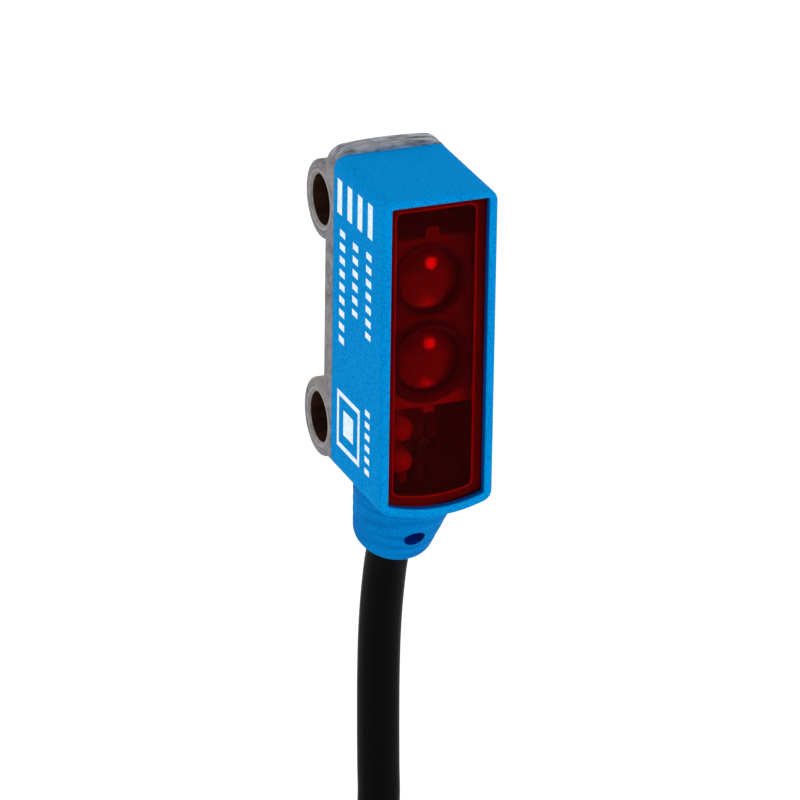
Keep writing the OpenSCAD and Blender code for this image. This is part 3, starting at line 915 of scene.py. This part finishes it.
def add_frame():
    """Metal plate with a crowned top, a relief in its back and two round lugs."""
    back_r, front_r, lug_round, web_round = 0.15, 0.1, 0.3, 0.12
    groove = 0.09
    web_half, web_in = 3.1, 0.3
    relief_half, relief_deep, relief_gap = 2.4, 0.35, 0.9
    rim_front, rim_back, rim_out, rim_in = SHELL_BACK - 0.6, SHELL_BACK + 0.1, 0.25, 0.75
    depths = [(SHELL_BACK, -front_r), (SHELL_BACK + front_r, 0)]
    depths += [(SHELL_BACK + 0.55, 0), (SHELL_BACK + 0.62, -groove), (SHELL_BACK + 0.7, -groove)]
    depths += [(SHELL_BACK + 0.77, 0)]
    for t in quarter(6):
        depths.append((PLATE_BACK - back_r * (1 - math.sin(t)), -back_r * (1 - math.cos(t))))
    loops = []
    for y, g in depths:
        full, less = plate_loop(y), plate_loop(y, g)
        on_top_only = g == -groove
        loops.append([a if on_top_only and a.z < TOP_Z - 0.3 else b for a, b in zip(full, less)])
    plate = loft("metal_frame", loops)
    rim = loft("rim", [
        cavity_loop(rim_front, rim_out), cavity_loop(rim_back, rim_out),
        cavity_loop(rim_back, rim_in), cavity_loop(rim_front, rim_in),
    ], closed=True)
    combine(plate, rim, "UNION")
    relief = box(
        "relief", (-relief_half, PLATE_BACK - relief_deep, -BORE_GAP + LUG_R + relief_gap),
        (relief_half, PLATE_BACK + 1, -LUG_R - relief_gap),
    )
    soften(relief, 0.3, 3)
    combine(plate, relief, "DIFFERENCE")
    for z in (0, -BORE_GAP):
        half = BODY_W / 2
        edge = [(lug_round * (1 - math.sin(t)), LUG_R - lug_round * (1 - math.cos(t))) for t in quarter(5)]
        profile = [(-half, 0)]
        profile += [(-half + along, r) for along, r in edge[::-1]]
        profile += [(half - along, r) for along, r in edge]
        profile += [(half, 0)]
        lug = spun("lug", profile, (1, 0, 0), (0, 0, z), 96)
        web = box("web", (-web_half, PLATE_BACK - web_in, z - LUG_R), (web_half, 0, z + LUG_R))
        soften(web, web_round, 2)
        combine(lug, web, "UNION")
        ahead = box("ahead", (-5, -5, z - 5), (5, SHELL_BACK, z + 5))
        combine(lug, ahead, "DIFFERENCE")
        combine(plate, lug, "UNION")
        bore = rod("bore", -5, 5, SLEEVE_R, (1, 0, 0), (0, 0, z), 96)
        combine(plate, bore, "DIFFERENCE")
    return present(plate, "cast_zinc", ZINC, "rear_frame")


def add_sleeves():
    """Turned steel sleeves, bevelled inside and out at both mouths."""
    half = BODY_W / 2
    rim = 0.03
    profile = [(-half, SLEEVE_R - rim), (-half + rim, SLEEVE_R)]
    profile += [(half - rim, SLEEVE_R), (half, SLEEVE_R - rim)]
    profile += [(half, BORE_R + SLEEVE_BEVEL), (half - SLEEVE_BEVEL, BORE_R)]
    profile += [(SLEEVE_BEVEL - half, BORE_R), (-half, BORE_R + SLEEVE_BEVEL)]
    for name, z in (("upper", 0), ("lower", -BORE_GAP)):
        sleeve = spun(name + "_bore_sleeve", profile, (1, 0, 0), (0, 0, z), 96)
        present(sleeve, "sleeve_steel", SLEEVE_STEEL, name + "_sleeve")
        # The inside of the bore is painted a dark brown, much darker than the rest of the sleeve: painted
        # shade inside the bore.
        second_material(sleeve, BORE_PAINTED_SHADE, lambda c: math.hypot(c.y, c.z - z) < BORE_R + 0.01)


# ---- optics ----

def add_lens(name, node, z):
    """Lens with a flat back and a dome in front."""
    bevel, steps = 0.05, 24
    back = LENS_HIGH.y
    front = back - LENS_EDGE
    dome_r = (LENS_R ** 2 + LENS_BULGE ** 2) / (2 * LENS_BULGE)
    top = math.asin(LENS_R / dome_r)
    profile = [(back, 0), (back, LENS_R - bevel), (back - bevel, LENS_R)]
    for k in range(steps + 1):
        t = top * (1 - k / steps)
        profile.append((front - LENS_BULGE + dome_r * (1 - math.cos(t)), dome_r * math.sin(t)))
    profile[-1] = (front - LENS_BULGE, 0)
    lens = spun(name, profile, (0, 1, 0), (0, 0, z))
    present(lens, "clear_lens", LENS_GLASS, node, sharp=40)


def add_ring(name, node):
    """Hood ring round a lens, with softened edges."""
    ring = from_cad(node, name)
    soften(ring, 0.05, 2)
    present(ring, "black_plastic", RING_PLASTIC, node)


def add_guide(name, node, z):
    """Light guide with a round end."""
    bevel = 0.06
    r = (GUIDE_HIGH.x - GUIDE_LOW.x) / 2
    middle = ((GUIDE_HIGH.x + GUIDE_LOW.x) / 2, 0, z)
    profile = [(GUIDE_HIGH.y, 0), (GUIDE_HIGH.y, r - bevel), (GUIDE_HIGH.y - bevel, r)]
    profile += [(GUIDE_LOW.y + r - r * math.sin(t), r * math.cos(t)) for t in quarter(16)[:-1]]
    profile += [(GUIDE_LOW.y, 0)]
    guide = spun(name, profile, (0, 1, 0), middle, 64)
    present(guide, "light_guide", GUIDE_PLASTIC, node, sharp=40)


def add_holder():
    """Holder of the lenses: soft edges, a cone round the lower lens and a rib beside the upper."""
    cone_r, cone_deep, cone_gap, close_by = 2.85, 0.5, 0.2, 0.01
    holder = from_cad("optics_carrier", "lens_holder")
    soften(holder, 0.07, 2)
    front = holder.bound_box[0][1]
    cone = [(front - 1, 0), (front - 1, cone_r), (front, cone_r)]
    cone += [(front + cone_deep, LENS_R + cone_gap), (front + cone_deep, 0)]
    combine(holder, spun("cone", cone, (0, 1, 0), (0, 0, SENDER_Z)), "DIFFERENCE")
    rib = box("rib", (2.35, -9.35, -4.2), (2.8, -9.0, 0.2))
    soften(rib, 0.08, 2)
    combine(holder, rib, "UNION")
    present(holder, "black_plastic", HOLDER_PLASTIC, "optics_carrier")

    def in_cone(point):
        return point.y > front + 2 * close_by and math.hypot(point.x, point.z - SENDER_Z) < cone_r + close_by

    second_material(holder, RING_PLASTIC, in_cone)


# ---- setting ----

def add_setting():
    """Pale glowing floor, surroundings dimmer in front and brighter at the left, and a lamp in front.

    The lamp does not light the floor.
    """
    floor = box("floor", (-FLOOR_HALF, -FLOOR_HALF, FLOOR_LOW), (FLOOR_HALF, FLOOR_HALF, FLOOR_TOP))
    floor.data.transform(Matrix.Scale(MM, 4))
    pale = surface("pale_floor", (0.93, 0.93, 0.93), (0.91, 0.91, 0.91), (0.7, 0.8), 2, 0.02, 60)
    glow = pale.node_tree.nodes["Principled BSDF"].inputs
    glow["Emission Color"].default_value = (1, 1, 1, 1)
    glow["Emission Strength"].default_value = FLOOR_GLOW
    floor.data.materials.append(pale)
    world = bpy.data.worlds.new("world")
    world.use_nodes = True
    tree = world.node_tree
    way = position(tree, "Generated")
    strength = remap(tree, way["Y"], -0.8, -0.2, FRONT_GLOW, ROOM_GLOW)
    left = remap(tree, way["X"], -0.9, -0.1, LEFT_GLOW, 0)
    total = maths(tree, "ADD", strength, left)
    tree.links.new(total, tree.nodes["Background"].inputs["Strength"])
    tree.nodes["Background"].inputs["Color"].default_value = (1, 1, 1, 1)
    SCENE.world = world
    lamp = add_lamp("front_lamp", LAMP_WAY, LAMP_DISTANCE, LAMP_SIZE, LAMP_RADIANCE)
    kept_dark = bpy.data.collections.new("kept_dark")
    kept_dark.objects.link(floor)
    kept_dark.collection_objects[0].light_linking.link_state = "EXCLUDE"
    lamp.light_linking.receiver_collection = kept_dark
    SCENE.view_settings.view_transform = "Standard"


def add_lamp(name, way, distance_mm, size_mm, radiance):
    """Round lamp that looks at the sensor from a direction, with an even radiance."""
    data = bpy.data.lights.new(name, "AREA")
    data.shape = "DISK"
    data.size = size_mm * MM
    data.energy = radiance * math.pi * math.pi * (data.size / 2) ** 2
    lamp = link(bpy.data.objects.new(name, data))
    way = Vector(way).normalized()
    lamp.location = (CAMERA_AIM + way * distance_mm) * MM
    lamp.rotation_euler = way.to_track_quat("Z", "Y").to_euler()
    lamp.visible_camera = False
    return lamp


BLUE = blue_plastic("blue_plastic", (0.0, 0.25, 0.62), (0.0, 0.125, 0.39), printed=True)
NECK_BLUE = blue_plastic("neck_blue", (0.0, 0.195, 0.54), (0.0, 0.115, 0.37), banded=True)
# Darker blue for the inside of the neck's hole: painted shade, the plastic there is the same blue as the
# neck.
HOLE_PAINTED_SHADE = blue_plastic("hole_painted_shade", (0.0, 0.02, 0.2), (0.0, 0.01, 0.12))
# Darker blue for the window's recess: painted shade, the plastic there is the same blue as the shell.
RECESS_PAINTED_SHADE = blue_plastic("recess_painted_shade", (0.0, 0.07, 0.34), (0.0, 0.05, 0.27))
ZINC = cast_zinc()
SLEEVE_STEEL = surface(
    "sleeve_steel", (0.24, 0.225, 0.22), (0.14, 0.13, 0.125), (0.25, 0.42), 0.1, 0.008, 0.5,
    metallic=0.9, stretch=(0.3, 1, 1),
)
# Dark brown for the inside of the bores: painted shade inside them.
BORE_PAINTED_SHADE = surface(
    "bore_painted_shade", (0.09, 0.035, 0.022), (0.035, 0.013, 0.008), (0.3, 0.5), 0.1, 0.006, 0.5,
    metallic=0.6, stretch=(0.2, 1, 1),
)
RED_GLASS = glass("red_glass", (0.8, 0.0, 0.004), 1.08, 0.0, clear=0.988)
RED_SEAL = surface("red_seal", (0.075, 0.0, 0.004), (0.055, 0.0, 0.003), (0.4, 0.6), 0.1, 0.004)
RED_LIP = surface("red_lip", (0.55, 0.0, 0.004), (0.4, 0.0, 0.003), (0.4, 0.6), 0.1, 0.004)
LENS_GLASS = glass("lens_glass", (0.5, 0.5, 0.51), 1.8, rough=(0.16, 0.19))
HOLDER_PLASTIC = holder_plastic()
RING_PLASTIC = surface(
    "ring_plastic", (0.022, 0.022, 0.023), (0.014, 0.014, 0.015), (0.35, 0.55), 0.1, 0.006, 1,
)
GUIDE_PLASTIC = glass("guide_plastic", (0.9, 0.9, 0.86), 1.49, clear=0.7)
SOLDER = surface("solder", (0.62, 0.62, 0.64), (0.5, 0.5, 0.52), (0.2, 0.4), 0.15, 0.006, 0.5, 1.0)
TIE_PLASTIC = surface("tie_plastic", (0.016, 0.016, 0.018), (0.011, 0.011, 0.012), (0.4, 0.55), 0.2, 0.008)
BLACK_JACKET = surface(
    "black_jacket", (0.002, 0.0014, 0.002), (0.0015, 0.001, 0.0015), (0.42, 0.6), 0.12, 0.006, 3,
    specular=0.03,
)
BROWN_WIRE = surface("brown_wire", (0.15, 0.045, 0.015), (0.12, 0.035, 0.012), (0.35, 0.5), 0.15, 0.004)
BLUE_WIRE = surface("blue_wire", (0.015, 0.08, 0.36), (0.012, 0.065, 0.3), (0.35, 0.5), 0.15, 0.004)
BLACK_WIRE = surface("black_wire", (0.012, 0.012, 0.012), (0.009, 0.009, 0.009), (0.35, 0.5), 0.15, 0.004)

add_camera()
add_cable(BLACK_JACKET, (BROWN_WIRE, BLUE_WIRE, BLACK_WIRE))
add_shell()
add_neck()
add_window()
add_frame()
add_sleeves()
add_holder()
add_lens("upper_lens", "receiver_lens", RECEIVER_Z)
add_lens("lower_lens", "sender_lens", SENDER_Z)
add_ring("upper_hood", "receiver_ring")
add_ring("lower_hood", "sender_ring")
add_guide("upper_guide", "upper_light_guide", UPPER_GUIDE_Z)
add_guide("lower_guide", "lower_light_guide", LOWER_GUIDE_Z)

RUBBER = surface("seal_rubber", (0.02, 0.02, 0.02), (0.014, 0.014, 0.014), (0.6, 0.8), 0.1, 0.006, 1)
CHIP_BLACK = surface("chip_black", (0.02, 0.02, 0.022), (0.014, 0.014, 0.015), (0.4, 0.6), 0.08, 0.006, 0.6)
BOARD_GREEN = surface("board_green", (0.02, 0.16, 0.06), (0.015, 0.11, 0.04), (0.3, 0.5), 0.12, 0.006, 0.5)
SCREEN_METAL = surface("screen_metal", (0.6, 0.6, 0.62), (0.5, 0.5, 0.52), (0.25, 0.4), 0.1, 0.005, 0.6, 1.0)
CLAMP_METAL = surface("clamp_metal", (0.5, 0.48, 0.42), (0.4, 0.38, 0.33), (0.3, 0.45), 0.1, 0.006, 0.6, 1.0)
CAPACITOR = surface("capacitor_tan", (0.13, 0.075, 0.035), (0.1, 0.055, 0.026), (0.4, 0.6), 0.08, 0.006, 0.4)
LED_RESIN = surface("led_resin", (0.12, 0.09, 0.09), (0.09, 0.065, 0.065), (0.2, 0.35), 0.1, 0.004, 0.4)
LED_GREEN = surface("led_green", (0.05, 0.5, 0.12), (0.04, 0.4, 0.1), (0.2, 0.35), 0.1, 0.004, 0.4)
LED_YELLOW = surface("led_yellow", (0.7, 0.5, 0.03), (0.6, 0.42, 0.02), (0.2, 0.35), 0.1, 0.004, 0.4)
dress(RUBBER, "rear_seal")
dress(BOARD_GREEN, "circuit_board")
dress(CHIP_BLACK, "receiver_chip", "control_chip", "output_transistor", "chip_resistors")
dress(SCREEN_METAL, "receiver_shield")
dress(CLAMP_METAL, "cable_clamp")
dress(CAPACITOR, "chip_capacitors")
dress(LED_RESIN, "sender_led")
dress(LED_GREEN, "green_indicator_led")
dress(LED_YELLOW, "yellow_indicator_led")
dress(SOLDER, "solder_joints")
dress(BLACK_JACKET, "jacket_end")
dress(BROWN_WIRE, "brown_core")
dress(BLUE_WIRE, "blue_core")
dress(BLACK_WIRE, "black_core")
add_setting()
